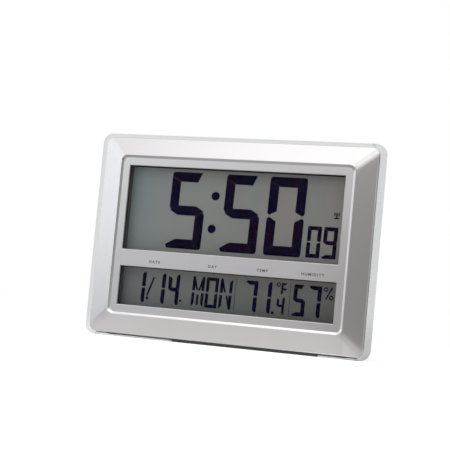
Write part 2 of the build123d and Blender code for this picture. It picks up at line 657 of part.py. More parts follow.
def small_board_pegs():
    """Places of the pegs that carry the receiver board and the sensor board."""
    rise = SMALL_BOARD_HEIGHT / 2 - PEG_INSET
    places = []
    for x, width in ((RECEIVER_X, RECEIVER_WIDTH), (SENSOR_X, SENSOR_WIDTH)):
        run = width / 2 - PEG_INSET
        places += [(x - run, SMALL_BOARD_Z - rise), (x + run, SMALL_BOARD_Z + rise)]
    return places


def make_rear_case():
    """Rear moulding with stand recess, battery bay, screw posts, vents, buttons and keyhole."""
    outer, case = rear_shell()
    case = add_stand_recess(outer, case)
    case = add_battery_bay(case)
    post_front = CASE_INSIDE - POST_DEPTH
    for x, z in case_screw_places():
        case += outer & slab(disc(POST_RADIUS, x, z), post_front, CASE_INSIDE)
        head_hole = disc(CASE_HEAD_RADIUS + HEAD_CLEARANCE, x, z)
        case -= slab(head_hole, post_front + HEAD_SEAT_WALL, REAR_BACK)
        case -= slab(disc(CASE_SHANK_RADIUS + SHANK_CLEARANCE, x, z), post_front, REAR_BACK)
    for x, z in small_board_pegs():
        case += slab(disc(PEG_RADIUS, x, z), SMALL_BOARD_BACK, CASE_INSIDE)
    grow = 2 * BUTTON_CLEARANCE
    for x, z in button_places():
        hole_corner = BUTTON_CORNER + BUTTON_CLEARANCE
        hole = rounded(BUTTON_LENGTH + grow, BUTTON_BREADTH + grow, hole_corner, x, z)
        case -= slab(hole, CASE_INSIDE, REAR_BACK)
    first_vent = SMALL_BOARD_Z - VENT_PITCH * (VENT_COUNT - 1) / 2
    for index in range(VENT_COUNT):
        slit = Pos(SENSOR_X, first_vent + index * VENT_PITCH) * SlotOverall(VENT_LENGTH, VENT_BREADTH)
        case -= slab(slit, CASE_INSIDE, REAR_BACK)
    keyhole = disc(KEYHOLE_RADIUS, 0, KEYHOLE_Z)
    keyhole += oblong(KEYHOLE_SLOT, KEYHOLE_RISE, 0, KEYHOLE_Z + KEYHOLE_RISE / 2)
    keyhole += disc(KEYHOLE_SLOT / 2, 0, KEYHOLE_Z + KEYHOLE_RISE)
    return case - slab(keyhole, CASE_INSIDE, REAR_BACK)


def make_battery_door():
    """Door that rolls on its round lower edge, with two hooks there and a sprung latch at the top."""
    half_width = DOOR_WIDTH / 2
    door = slab(door_outline(0.0), DOOR_FRONT, REAR_BACK)
    door -= block(-half_width, half_width, DOOR_FRONT, REAR_BACK, DOOR_BOTTOM, DOOR_HINGE_Z)
    door += bar_along_x(DOOR_THICKNESS / 2, -half_width, half_width, DOOR_HINGE_DEPTH, DOOR_HINGE_Z)
    latch_top = DOOR_TOP + LATCH_REACH - DOOR_CLEARANCE
    half_latch = LATCH_WIDTH / 2
    latch_root = DOOR_TOP - LATCH_ARM
    door += block(-half_latch, half_latch, DOOR_FRONT, REAR_BACK, latch_root, latch_top)
    for side in (-1, 1):
        slit_x = side * (LATCH_WIDTH + LATCH_SLIT) / 2
        slit = oblong(LATCH_SLIT, LATCH_ARM, slit_x, DOOR_TOP - LATCH_ARM / 2)
        door -= slab(slit, DOOR_FRONT, REAR_BACK)
        tab_x = side * DOOR_TAB_SPAN / 2
        tab_back = DOOR_FRONT - DOOR_CLEARANCE
        tab_front = tab_back - DOOR_TAB_THICKNESS
        tab_bottom = DOOR_BOTTOM - DOOR_TAB_REACH
        half_tab = DOOR_TAB_WIDTH / 2
        root_top = DOOR_HINGE_Z + DOOR_TAB_ROOT
        door += block(tab_x - half_tab, tab_x + half_tab, tab_front, tab_back, tab_bottom, root_top)
        door += block(tab_x - half_tab, tab_x + half_tab, tab_front, DOOR_FRONT, DOOR_BOTTOM, root_top)
    for index in range(GRIP_COUNT):
        groove_z = DOOR_TOP - GRIP_INSET - index * GRIP_PITCH
        groove = Pos(0, groove_z) * SlotOverall(GRIP_LENGTH, GRIP_PITCH / 2)
        door -= slab(groove, REAR_BACK - GRIP_DEPTH, REAR_BACK)
    return door


def make_cell(z, plus_side):
    """AA cell, its plus nub towards one end of the bay."""
    nub_tip = BAY_LENGTH / 2 - CONTACT_THICKNESS
    body_right = nub_tip - CELL_NUB
    body_left = body_right - CELL_BODY
    if plus_side < 0:
        body_left, body_right = -body_right, -body_left
    body = bar_along_x(CELL_RADIUS, body_left, body_right, CELL_DEPTH, z)
    body = fillet(body.edges().filter_by(GeomType.CIRCLE), CELL_EDGE)
    nub_start, nub_end = sorted((plus_side * (nub_tip - CELL_NUB), plus_side * nub_tip))
    return body + bar_along_x(CELL_NUB_RADIUS, nub_start, nub_end, CELL_DEPTH, z)


def make_contacts():
    """Bridge plate at one end of the bay, and the two lead contacts with their tabs."""
    wall = BAY_LENGTH / 2
    inner = wall - CONTACT_THICKNESS
    half = CONTACT_SIZE / 2
    front = CELL_DEPTH - half
    back = CELL_DEPTH + half
    bridge = block(inner, wall, front, back, LOWER_CELL_Z - half, UPPER_CELL_Z + half)
    contacts = {"bridge_contact": bridge}
    tab_end = -DOOR_WIDTH / 2 - BAY_WALL - TAB_REACH
    thin = CONTACT_THICKNESS / 2
    for name, z in (("negative_contact", UPPER_CELL_Z), ("positive_contact", LOWER_CELL_Z)):
        plate = block(-wall, -inner, front, back, z - half, z + half)
        tab_bottom = z - TAB_WIDTH / 2
        tab = block(tab_end, -inner, CELL_DEPTH - thin, CELL_DEPTH + thin, tab_bottom, tab_bottom + TAB_WIDTH)
        contacts[name] = plate + tab
    return contacts


def biarc(start, start_way, end, end_way):
    """Two arcs that leave one point along a direction and arrive at another along a second."""
    chord = end - start
    both = start_way + end_way
    turn = 2 * (1 - start_way.dot(end_way))
    along = chord.dot(both)
    reach = (math.sqrt(along * along + turn * chord.dot(chord)) - along) / turn
    first_corner = start + start_way * reach
    last_corner = end - end_way * reach
    joint = (first_corner + last_corner) * 0.5
    joint_way = (last_corner - first_corner).normalized()
    return [TangentArc(start, joint, tangent=start_way), TangentArc(joint, end, tangent=joint_way)]


def make_spring(plate_x, way, z):
    """Cone spring of one wire from a contact plate to the flat end of a cell."""
    climb = SPRING_LENGTH - 2 * SPRING_WIRE
    steps = 4 * SPRING_TURNS
    centre = Vector(plate_x + way * SPRING_WIRE, CELL_DEPTH, z)

    def place(share):
        angle = 2 * math.pi * SPRING_TURNS * share
        radius = SPRING_BASE_RADIUS + (SPRING_TOP_RADIUS - SPRING_BASE_RADIUS) * share
        return centre + Vector(way * climb * share, radius * math.cos(angle), radius * math.sin(angle))

    def heading(share):
        nudge = 1e-4
        return (place(share + nudge) - place(share - nudge)).normalized()

    arcs = []
    for step in range(steps):
        here = step / steps
        there = (step + 1) / steps
        arcs += biarc(place(here), heading(here), place(there), heading(there))
    path = Wire(arcs)
    section = Plane(origin=place(0), z_dir=heading(0)) * Circle(SPRING_WIRE)
    least_gap = climb / SPRING_TURNS - 2 * SPRING_WIRE
    print("spring", round(plate_x, 2), "least gap between turns", round(least_gap, 3))
    return sweep(section, path=path)


def make_springs():
    inner = BAY_LENGTH / 2 - CONTACT_THICKNESS
    return [make_spring(-inner, 1, UPPER_CELL_Z), make_spring(inner, -1, LOWER_CELL_Z)]


def make_aerial():
    """Ferrite rod, its winding and the two clips that hold it inside the case."""
    left = -ROD_LENGTH / 2
    rod = bar_along_x(ROD_RADIUS, left, -left, ROD_DEPTH, ROD_HEIGHT)
    half_coil = COIL_LENGTH / 2
    coil = bar_along_x(COIL_RADIUS, -half_coil, half_coil, ROD_DEPTH, ROD_HEIGHT)
    coil -= bar_along_x(ROD_RADIUS, -half_coil, half_coil, ROD_DEPTH, ROD_HEIGHT)
    clips = []
    floor = STAND_SLOT_FLOOR - REAR_WALL
    rise = ROD_RADIUS + CLIP_WALL
    for side in (-1, 1):
        clip_left = side * (ROD_LENGTH / 2 - CLIP_END) - CLIP_LENGTH / 2
        clip_right = clip_left + CLIP_LENGTH
        clip_front = ROD_DEPTH - CLIP_ARM
        clip = block(clip_left, clip_right, clip_front, floor, ROD_HEIGHT - rise, ROD_HEIGHT + rise)
        clip -= bar_along_x(ROD_RADIUS, clip_left, clip_right, ROD_DEPTH, ROD_HEIGHT)
        mouth_bottom = ROD_HEIGHT - CLIP_MOUTH / 2
        mouth_top = ROD_HEIGHT + CLIP_MOUTH / 2
        clip -= block(clip_left, clip_right, clip_front, ROD_DEPTH, mouth_bottom, mouth_top)
        clips.append(clip)
    return {"ferrite_rod": rod, "antenna_coil": coil, "antenna_clips": clips}


def make_small_boards():
    """Receiver board and air-sensor board on their pegs, with the parts on them."""
    front = SMALL_BOARD_FRONT
    back = SMALL_BOARD_BACK
    receiver = oblong(RECEIVER_WIDTH, SMALL_BOARD_HEIGHT, RECEIVER_X, SMALL_BOARD_Z)
    sensor = oblong(SENSOR_WIDTH, SMALL_BOARD_HEIGHT, SENSOR_X, SMALL_BOARD_Z)
    chip = oblong(RECEIVER_CHIP, RECEIVER_CHIP, RECEIVER_X, SMALL_BOARD_Z)
    humidity_z = SMALL_BOARD_Z + HUMIDITY_RISE
    humidity = oblong(HUMIDITY_WIDTH, HUMIDITY_HEIGHT, SENSOR_X - SENSOR_SHIFT, humidity_z)
    thermistor_z = SMALL_BOARD_Z - SMALL_BOARD_HEIGHT / 2 + PEG_INSET
    bead_left = SENSOR_X - THERMISTOR_LENGTH / 2 + SENSOR_SHIFT
    bead_depth = back + THERMISTOR_RADIUS
    bead_right = bead_left + THERMISTOR_LENGTH
    bead = bar_along_x(THERMISTOR_RADIUS, bead_left, bead_right, bead_depth, thermistor_z)
    return {
        "receiver_board": slab(receiver, front, back),
        "receiver_chip": slab(chip, front - RECEIVER_CHIP_HEIGHT, front),
        "sensor_board": slab(sensor, front, back),
        "humidity_sensor": slab(humidity, back, back + HUMIDITY_DEPTH),
        "thermistor": bead,
    }


def make_lead(points, radius, bend):
    """Insulated wire along straight runs joined by tangent arcs."""
    path = FilletPolyline(*points, radius=bend)
    first_way = (Vector(*points[1]) - Vector(*points[0])).normalized()
    section = Plane(origin=points[0], z_dir=first_way) * Circle(radius)
    return sweep(section, path=path)


def make_leads():
    """Battery, aerial, sensor and receiver wires."""
    board_middle = (BOARD_FRONT + BOARD_BACK) / 2
    small_middle = (SMALL_BOARD_FRONT + SMALL_BOARD_BACK) / 2
    tab_end = -DOOR_WIDTH / 2 - BAY_WALL - TAB_REACH
    leads = {}
    routes = [("battery_lead_black", UPPER_CELL_Z, BLACK_LEAD_REACH)]
    routes.append(("battery_lead_red", LOWER_CELL_Z, RED_LEAD_REACH))
    for name, z, reach in routes:
        turn_x = tab_end - reach
        points = [
            (tab_end, CELL_DEPTH, z),
            (turn_x, CELL_DEPTH, z),
            (turn_x, board_middle, BOARD_BOTTOM - LEAD_LANDING),
            (turn_x, board_middle, BOARD_BOTTOM),
        ]
        leads[name] = make_lead(points, LEAD_RADIUS, LEAD_BEND)

    coil_end = COIL_LENGTH / 2
    winding = (ROD_RADIUS + COIL_RADIUS) / 2
    clip_left = ROD_LENGTH / 2 - CLIP_END - CLIP_LENGTH / 2
    clear = ROD_RADIUS + CLIP_WALL + AERIAL_LEAD_CLEAR
    board_edge = RECEIVER_X - RECEIVER_WIDTH / 2
    aerial = []
    for side in (-1, 1):
        points = [
            (coil_end, ROD_DEPTH, ROD_HEIGHT + side * winding),
            (coil_end + AERIAL_LEAD_START, ROD_DEPTH, ROD_HEIGHT + side * winding),
            (clip_left, ROD_DEPTH, ROD_HEIGHT + side * clear),
            (clip_left + CLIP_LENGTH, ROD_DEPTH, ROD_HEIGHT + side * (clear + AERIAL_LEAD_RISE)),
            (board_edge - LEAD_LANDING, small_middle, SMALL_BOARD_Z + side * winding),
            (board_edge, small_middle, SMALL_BOARD_Z + side * winding),
        ]
        aerial.append(make_lead(points, FINE_LEAD_RADIUS, FINE_LEAD_BEND))
    leads["antenna_leads"] = aerial

    board_top = SMALL_BOARD_Z + SMALL_BOARD_HEIGHT / 2
    for name, x in (("sensor_leads", SENSOR_X), ("receiver_leads", RECEIVER_X)):
        pair = []
        for offset in (-FINE_LEAD_PITCH / 2, FINE_LEAD_PITCH / 2):
            points = [
                (x + offset, small_middle, board_top),
                (x + offset, small_middle, board_top + FINE_LEAD_LANDING),
                (x + offset, board_middle, BOARD_BOTTOM - FINE_LEAD_LANDING),
                (x + offset, board_middle, BOARD_BOTTOM),
            ]
            pair.append(make_lead(points, FINE_LEAD_RADIUS, FINE_LEAD_BEND))
        leads[name] = pair
    return leads


def pad_places():
    """Middles of the two pads under the far edge of the stand."""
    x = STAND_WIDTH / 2 - PAD_INSET - PAD_LENGTH / 2
    depth = HINGE_DEPTH + STAND_REACH - PAD_INSET - PAD_BREADTH / 2
    return [(-x, depth), (x, depth)]


def make_stand():
    """Fold-out plate, ribbed on its inner face, with hinge knuckles and pins."""
    bottom = STAND_LIFT
    far = HINGE_DEPTH + STAND_REACH
    half = STAND_WIDTH / 2
    outline = Pos(0, (HINGE_DEPTH + far) / 2) * Rectangle(STAND_WIDTH, STAND_REACH)
    outline = fillet(outline.vertices().group_by(Axis.Y)[-1], STAND_CORNER)
    plate = extrude(Plane.XY.offset(bottom) * outline, amount=STAND_THICKNESS)

    pocket_near = HINGE_DEPTH + KNUCKLE_RADIUS + STAND_RIB
    pocket_far = far - STAND_BORDER - NOTCH_DEPTH
    pocket_count = STAND_RIB_COUNT + 1
    pocket_width = (STAND_WIDTH - 2 * STAND_BORDER - STAND_RIB_COUNT * STAND_RIB) / pocket_count
    pocket_floor = bottom + STAND_THICKNESS - STAND_POCKET
    for index in range(pocket_count):
        left = -half + STAND_BORDER + index * (pocket_width + STAND_RIB)
        shape = Pos(left + pocket_width / 2, (pocket_near + pocket_far) / 2)
        shape *= RectangleRounded(pocket_width, pocket_far - pocket_near, STAND_RIB)
        plate -= extrude(Plane.XY.offset(pocket_floor) * shape, amount=STAND_POCKET)

    notch = Pos(0, far) * SlotOverall(NOTCH_WIDTH, 2 * NOTCH_DEPTH)
    plate -= extrude(Plane.XY.offset(bottom) * notch, amount=STAND_THICKNESS)
    for x, depth in pad_places():
        seat = Pos(x, depth) * RectangleRounded(PAD_LENGTH, PAD_BREADTH, PAD_CORNER)
        plate -= extrude(Plane.XY.offset(bottom) * seat, amount=PAD_SINK)

    for side in (-1, 1):
        left, right = sorted((side * half, side * (half - KNUCKLE_LENGTH)))
        plate += bar_along_x(KNUCKLE_RADIUS, left, right, HINGE_DEPTH, HINGE_Z)
        left, right = sorted((side * (half - PIN_ROOT), side * (half + PIN_REACH)))
        plate += bar_along_x(PIN_RADIUS, left, right, HINGE_DEPTH, HINGE_Z)
    return plate


def make_stand_pads():
    """Rubber pads let into the stand's underside, standing a little proud."""
    pads = []
    for x, depth in pad_places():
        shape = Pos(x, depth) * RectangleRounded(PAD_LENGTH, PAD_BREADTH, PAD_CORNER)
        pads.append(extrude(shape, amount=STAND_LIFT + PAD_SINK))
    return pads


def make_screws():
    """Case, board and display-tray screws, each kind a group."""
    seat = CASE_INSIDE - POST_DEPTH + HEAD_SEAT_WALL
    case_size = (seat, CASE_HEAD_RADIUS, CASE_HEAD_HEIGHT, CASE_SHANK_RADIUS, CASE_SCREW_LENGTH)
    small_size = (SMALL_HEAD_RADIUS, SMALL_HEAD_HEIGHT, SMALL_SHANK_RADIUS, SMALL_SCREW_LENGTH)
    return {
        "case_screws": [pan_screw(x, z, *case_size) for x, z in case_screw_places()],
        "board_screws": [pan_screw(x, z, BOARD_BACK, *small_size) for x, z in board_screw_places()],
        "holder_screws": [pan_screw(x, z, DISPLAY_FRONT, *small_size) for x, z in holder_screw_places()],
    }


def make_nodes():
    nodes = {
        "front_bezel": make_front_bezel(),
        "clear_surround": make_clear_surround(),
        "display_lens": make_display_lens(),
        "lcd_holder": make_lcd_holder(),
        "zebra_strip": make_zebra_strip(),
        "main_board": make_main_board(),
        "tact_switches": make_tact_switches(),
        "rear_case": make_rear_case(),
        "battery_door": make_battery_door(),
        "upper_cell": make_cell(UPPER_CELL_Z, 1),
        "lower_cell": make_cell(LOWER_CELL_Z, -1),
        "contact_springs": make_springs(),
        "stand": make_stand(),
        "stand_pads": make_stand_pads(),
    }
    for group in (make_display(), make_board_parts(), make_contacts(), make_aerial(), make_small_boards()):
        nodes.update(group)
    nodes.update(make_leads())
    nodes.update(make_screws())
    for name, (x, z) in zip(BUTTON_NAMES, button_places()):
        nodes[name + "_button"] = make_button(x, z)
    return nodes


front_reach = RIDGE_RISE
back_reach = HINGE_DEPTH + STAND_REACH
to_middle = Pos(0, (front_reach - back_reach) / 2, 0)

os.makedirs("parts", exist_ok=True)
for name, shape in make_nodes().items():
    pieces = shape if isinstance(shape, list) else [shape]
    solids = [to_middle * solid for piece in pieces for solid in piece.solids()]
    whole = solids[0] if len(solids) == 1 else Compound(solids)
    export_step(whole, f"parts/{name}.step")

print("middle of the footprint behind the panel's face", round((back_reach - front_reach) / 2, 3))
print("stand hinge at depth", round(HINGE_DEPTH, 3), "height", round(HINGE_Z, 3))
print("door hinge at depth", round(DOOR_HINGE_DEPTH, 3), "height", round(DOOR_HINGE_Z, 3))
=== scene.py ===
import math

import bpy
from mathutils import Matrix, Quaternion, Vector


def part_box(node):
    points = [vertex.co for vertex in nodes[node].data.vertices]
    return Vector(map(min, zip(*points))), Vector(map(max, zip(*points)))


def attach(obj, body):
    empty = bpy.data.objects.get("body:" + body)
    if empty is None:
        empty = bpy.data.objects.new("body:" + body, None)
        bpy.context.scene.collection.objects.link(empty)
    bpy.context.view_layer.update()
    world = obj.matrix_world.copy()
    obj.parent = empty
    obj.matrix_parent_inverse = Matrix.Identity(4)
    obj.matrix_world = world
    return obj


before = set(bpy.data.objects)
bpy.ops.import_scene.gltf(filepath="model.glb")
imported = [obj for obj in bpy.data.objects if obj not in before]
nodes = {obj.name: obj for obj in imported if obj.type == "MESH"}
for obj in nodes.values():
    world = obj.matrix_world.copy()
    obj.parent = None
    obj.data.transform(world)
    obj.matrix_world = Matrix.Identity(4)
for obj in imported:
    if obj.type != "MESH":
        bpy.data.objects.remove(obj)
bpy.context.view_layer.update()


# Reflector and panes of the display: a brushed silver film glued behind two thin
# sheets of soda-lime glass, with the liquid crystal sealed between the sheets.
class Wire:
    """One value inside a material. Sums and products of wires become nodes."""

    def __init__(self, tree, socket):
        self.tree = tree
        self.socket = socket

    def node(self, kind, settings=None, feeds=None, output=0):
        made = self.tree.nodes.new(kind)
        for name, value in (settings or {}).items():
            if name == "stops":
                ramp = made.color_ramp.elements
                while len(ramp) < len(value):
                    ramp.new(1.0)
                for element, (place, colour) in zip(ramp, value):
                    element.position = place
                    element.color = (*colour, 1.0)
            else:
                setattr(made, name, value)
        for name, value in (feeds or {}).items():
            if isinstance(value, Wire):
                self.tree.links.new(value.socket, made.inputs[name])
            else:
                made.inputs[name].default_value = value
        return Wire(self.tree, made.outputs[output])

    def math(self, operation, other=0.0):
        return self.node("ShaderNodeMath", {"operation": operation}, {0: self, 1: other})

    def __add__(self, other):
        return self.math("ADD", other)

    def __sub__(self, other):
        return self.math("SUBTRACT", other)

    def __rsub__(self, other):
        return self.math("MULTIPLY", -1.0) + other

    def __mul__(self, other):
        return self.math("MULTIPLY", other)

    __radd__ = __add__
    __rmul__ = __mul__


def start_finish(name):
    """New material, its main shader and the piece's own coordinates."""
    finish = bpy.data.materials.new(name)
    finish.use_nodes = True
    tree = finish.node_tree
    shader = tree.nodes["Principled BSDF"]
    coordinates = tree.nodes.new("ShaderNodeTexCoord")
    return finish, shader, Wire(tree, coordinates.outputs["Object"])


def feed(shader, **wires):
    """Joins wires to the shader's sockets, named with underscores for spaces."""
    for name, wire in wires.items():
        wire.tree.links.new(wire.socket, shader.inputs[name.replace("_", " ")])


def settle(shader, **values):
    """Sets plain numbers and colours on the shader's own sockets."""
    for name, value in values.items():
        shader.inputs[name.replace("_", " ")].default_value = value


def noise(place, scale, detail=2.0):
    feeds = {"Vector": place, "Scale": scale, "Detail": detail}
    return place.node("ShaderNodeTexNoise", None, feeds)


def stretched(place, x, y, z):
    return place.node("ShaderNodeMapping", None, {"Vector": place, "Scale": (x, y, z)})


def mixed(factor, low, high):
    """Colour between two colours by a factor."""
    settings = {"data_type": "RGBA"}
    ends = [value if isinstance(value, Wire) else (*value, 1.0) for value in (low, high)]
    return factor.node("ShaderNodeMix", settings, {0: factor, 6: ends[0], 7: ends[1]}, 2)


def bumped(height, strength, distance):
    feeds = {"Height": height, "Strength": strength, "Distance": distance}
    return height.node("ShaderNodeBump", None, feeds)


def lay_on(finish, *names):
    """Gives CAD nodes a finish."""
    for name in names:
        for slot in nodes[name].material_slots:
            slot.material = finish


reflector_finish, shader, place = start_finish("reflector_film")
streaks = noise(stretched(place, 30.0, 30.0, 900.0), 4.0)
feed(shader, Base_Color=mixed(streaks, (0.30, 0.31, 0.28), (0.38, 0.38, 0.34)))
feed(shader, Roughness=0.25 + streaks * 0.2)
settle(shader, Metallic=0.9)
lay_on(reflector_finish, "rear_reflector")

pane_finish, shader, place = start_finish("display_glass")
smears = noise(place, 18.0)
feed(shader, Base_Color=mixed(smears, (0.78, 0.86, 0.82), (0.84, 0.90, 0.87)), Roughness=smears * 0.06)
settle(shader, Transmission_Weight=1.0, IOR=1.52)
lay_on(pane_finish, "lcd_front_glass", "lcd_rear_glass")


# Front polariser: grey-green plastic film stuck to the front pane. Its matt face and
# the reflector behind it give the display its grey ground, cooler to the left. Painted shade
# darkens the ground towards the bottom, a painted lighter band lies under the tops of both
# windows, and a painted black line under those tops stands for the shade of the window walls.
def axis(place, number):
    """One of the coordinates X, Y and Z, counted from 0."""
    return place.node("ShaderNodeSeparateXYZ", None, {0: place}, number)


def within(distance, fade):
    """Grows from 0 to 1 as a distance grows from 0 to the fade."""
    return (distance * (1.0 / fade)).math("MAXIMUM", 0.0).math("MINIMUM", 1.0)


def between(value, low, high, fade):
    """Is 1 from low to high and falls to 0 inside both ends over the fade."""
    return within(value - low, fade) * within(high - value, fade)


ground_finish, shader, place = start_finish("polariser_film")
share_per_metre = 5.6
across = axis(place, 0) * share_per_metre + 0.5
height = axis(place, 2)
streaks = noise(stretched(place, 60.0, 1.0, 4.0), 1.0)
drift = across + (streaks - 0.5) * 0.3
ground = drift.node("ShaderNodeValToRGB", {"stops": [
    (0.0, (0.245, 0.290, 0.298)), (0.35, (0.290, 0.286, 0.262)), (1.0, (0.240, 0.240, 0.205))]}, {0: drift})
bands = within(noise(stretched(place, 42.0, 1.0, 3.0), 1.0) - 0.42, 0.2)
tinted = mixed(bands, (0.225, 0.262, 0.250), (0.272, 0.248, 0.228))
ground = mixed(within(across * 0.9, 1.0), ground, tinted)
# Painted shade: the ground darkens towards the bottom of the display, most at the lower right.
lower_shade_level, lower_shade_fade = 0.015, 0.0714
painted_lower_shade = mixed(within(across, 1.0), (0.122, 0.134, 0.130), (0.050, 0.050, 0.041))
ground = mixed(within(height - lower_shade_level, lower_shade_fade), painted_lower_shade, ground)
# Painted light: a lighter band just under the tops of both windows offsets the shade their walls cast on the
# ground.
tall_painted_light, low_painted_light, low_painted_light_end = 0.1270, 0.0490, 0.0560
painted_light_under_edges = within(height - tall_painted_light, 0.0055)
painted_light_under_edges += within(height - low_painted_light, 0.0045) * within(low_painted_light_end - height, 0.0005)
ground = mixed(painted_light_under_edges * 0.20, ground, (0.62, 0.62, 0.58))
# Painted shadow: a black line under the top of each window stands for the shade under its top wall.
tall_window_shadow, low_window_shadow, low_window_shadow_end, window_shadow_fade = 0.1330, 0.0544, 0.0600, 0.0003
painted_window_shadow = within(height - tall_window_shadow, window_shadow_fade)
painted_window_shadow += between(height, low_window_shadow, low_window_shadow_end, window_shadow_fade)
ground = mixed(painted_window_shadow, ground, (0.004, 0.004, 0.004))
grain = noise(place, 2600.0)
feed(shader, Base_Color=ground, Roughness=0.38 + grain * 0.2, Normal=bumped(grain, 0.15, 0.00004))
lay_on(ground_finish, "front_polariser")


# Lit segments of the display: dark patterned areas of the liquid crystal, which look
# printed on the ground. Each figure is cut to the outlines of its own segments.
film_thickness = 0.00004
film_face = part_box("front_polariser")[0].y
millimetre = 0.001
slant = 0.02

segment_finish, shader, place = start_finish("lit_segments")
patches = noise(stretched(place, 55.0, 1.0, 30.0), 1.0)
tone = patches.node("ShaderNodeValToRGB", {"stops": [
    (0.35, (0.001, 0.001, 0.020)), (0.52, (0.003, 0.001, 0.016)),
    (0.72, (0.014, 0.001, 0.012))]}, {0: patches})
feed(shader, Base_Color=tone, Roughness=0.45 + patches * 0.2)
settle(shader, Specular_IOR_Level=0.0)


def lone_select(piece):
    bpy.ops.object.select_all(action="DESELECT")
    piece.select_set(True)
    bpy.context.view_layer.objects.active = piece


def cut_film(name, outlines, face, finish, thickness=film_thickness):
    """Thin film cut to closed outlines in X and Z millimetres, standing on a face that looks forward."""
    curve = bpy.data.curves.new(name, "CURVE")
    curve.dimensions = "2D"
    curve.fill_mode = "BOTH"
    curve.extrude = thickness / 2
    for outline in outlines:
        spline = curve.splines.new("POLY")
        spline.points.add(len(outline) - 1)
        for point, (x, z) in zip(spline.points, outline):
            point.co = (x * millimetre, z * millimetre, 0.0, 1.0)
        spline.use_cyclic_u = True
    film = bpy.data.objects.new(name, curve)
    bpy.context.collection.objects.link(film)
    lone_select(film)
    bpy.ops.object.convert(target="MESH")
    film = bpy.context.object
    film.rotation_euler = (math.pi / 2, 0.0, 0.0)
    film.location = (0.0, face - thickness / 2, 0.0)
    bpy.ops.object.transform_apply(location=True, rotation=True, scale=True)
    film.data.materials.append(finish)
    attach(film, "case")
    return film


def bar(start_x, start_z, end_x, end_z, breadth):
    """Straight stroke between two points."""
    along = Vector((end_x - start_x, end_z - start_z)).normalized()
    aside = Vector((-along.y, along.x)) * breadth / 2
    start = Vector((start_x, start_z))
    end = Vector((end_x, end_z))
    return [tuple(start + aside), tuple(start - aside), tuple(end - aside), tuple(end + aside)]


def ring(x, z, radius, sides=20):
    turns = [2 * math.pi * index / sides for index in range(sides)]
    return [(x + radius * math.cos(turn), z + radius * math.sin(turn)) for turn in turns]


def segments(lit, width, height, stroke, gap, blunt=False):
    """Outlines of the lit segments, a to g, of one figure with its lower left corner at zero.
    The level segments hold the rounded corners at the left, the upright ones those at the right.
    Small figures have blunt ends."""
    half = stroke / 2
    middle = height / 2
    curl = stroke * 0.30
    nip = curl * 0.29
    side_joint = height - stroke * 0.43
    top_joint = width - stroke * 0.60
    inner_top = height - stroke
    inner_right = width - stroke
    heel = height - stroke * (0.62 if blunt else 0.90)
    tip = stroke * 0.22
    point = stroke * 0.08
    waist = middle + stroke * 0.09
    shoulder = waist + stroke * (0.18 if blunt else 0.25)
    inner_shoulder = waist + stroke * (0.20 if blunt and "g" not in lit else 0.42)
    top = [(0, side_joint + gap), (0, height - curl), (nip, height - nip), (curl, height),
           (top_joint - gap, height), (inner_right - gap, heel), (inner_right - gap, inner_top),
           (stroke + gap, inner_top)]
    upper_left = [(0, side_joint), (stroke, inner_top - gap), (stroke, inner_shoulder),
                  (tip, waist), (0, shoulder)]
    upper_right = [(top_joint, height), (width - curl, height), (width - nip, height - nip),
                   (width, height - curl), (width, shoulder), (width - tip, waist),
                   (inner_right, inner_shoulder), (inner_right, heel)]
    centre = [(point, middle), (stroke, middle + half), (inner_right, middle + half),
              (width - point, middle), (inner_right, middle - half), (stroke, middle - half)]
    shapes = {
        "a": top,
        "f": upper_left,
        "b": upper_right,
        "g": centre,
        "e": [(x, height - z) for x, z in upper_left],
        "c": [(x, height - z) for x, z in upper_right],
        "d": [(x, height - z) for x, z in top],
    }
    return [shapes[letter] for letter in lit]


def placed(outlines, left, bottom):
    """Outlines moved to their place, leaning a little as the figures do."""
    return [[(left + x + slant * z, bottom + z) for x, z in outline] for outline in outlines]


figures = {"0": "abcdef", "1": "bc", "4": "bcfg", "5": "acdfg", "7": "abc", "9": "abcdfg"}

gap = 0.10
time_bottom = 71.5
time_size = (29.6, 59.4, 7.5, gap)
time_row = (("hour", "5", -54.9), ("tens_of_minutes", "5", -9.7), ("minutes", "0", 25.7))
for name, figure, left in time_row:
    outlines = placed(segments(figures[figure], *time_size), left, time_bottom)
    cut_film("figure_" + name, outlines, film_face, segment_finish)
colon = [ring(x, z, 3.35, 28) for x, z in ((-16.6, 113.7), (-17.4, 88.4))]
cut_film("colon", colon, film_face, segment_finish)

seconds_bottom = 72.0
seconds_size = (10.8, 23.6, 3.0, gap)
for name, figure, left in (("tens_of_seconds", "0", 59.2), ("seconds", "9", 71.8)):
    outlines = placed(segments(figures[figure], *seconds_size, True), left, seconds_bottom)
    cut_film("figure_" + name, outlines, film_face, segment_finish)

mast = [bar(81.0, 102.0, 81.0, 106.4, 1.1), bar(79.2, 102.3, 82.8, 102.3, 1.0)]
mast += [bar(79.4, 104.0, 79.4, 106.6, 0.95), bar(82.6, 104.0, 82.6, 106.6, 0.95)]
cut_film("signal_mark", mast, film_face, segment_finish)

row_bottom = 28.1
row_size = (9.6, 23.4, 3.05, gap)
row = (("month", "1", -78.0), ("tens_of_days", "1", -61.2), ("days", "4", -49.3),
       ("tens_of_degrees", "7", 14.6), ("degrees", "1", 25.8),
       ("tens_of_percent", "5", 52.6), ("percent", "7", 64.6))
for name, figure, left in row:
    outlines = placed(segments(figures[figure], *row_size, True), left, row_bottom)
    cut_film("figure_" + name, outlines, film_face, segment_finish)
cut_film("date_slash", [bar(-66.3, 33.4, -61.3, 48.1, 1.45)], film_face, segment_finish)
dots = [ring(-65.9, 31.5, 1.25), ring(-37.9, 31.6, 0.95), ring(37.6, 29.0, 1.15)]
cut_film("points", dots, film_face, segment_finish)

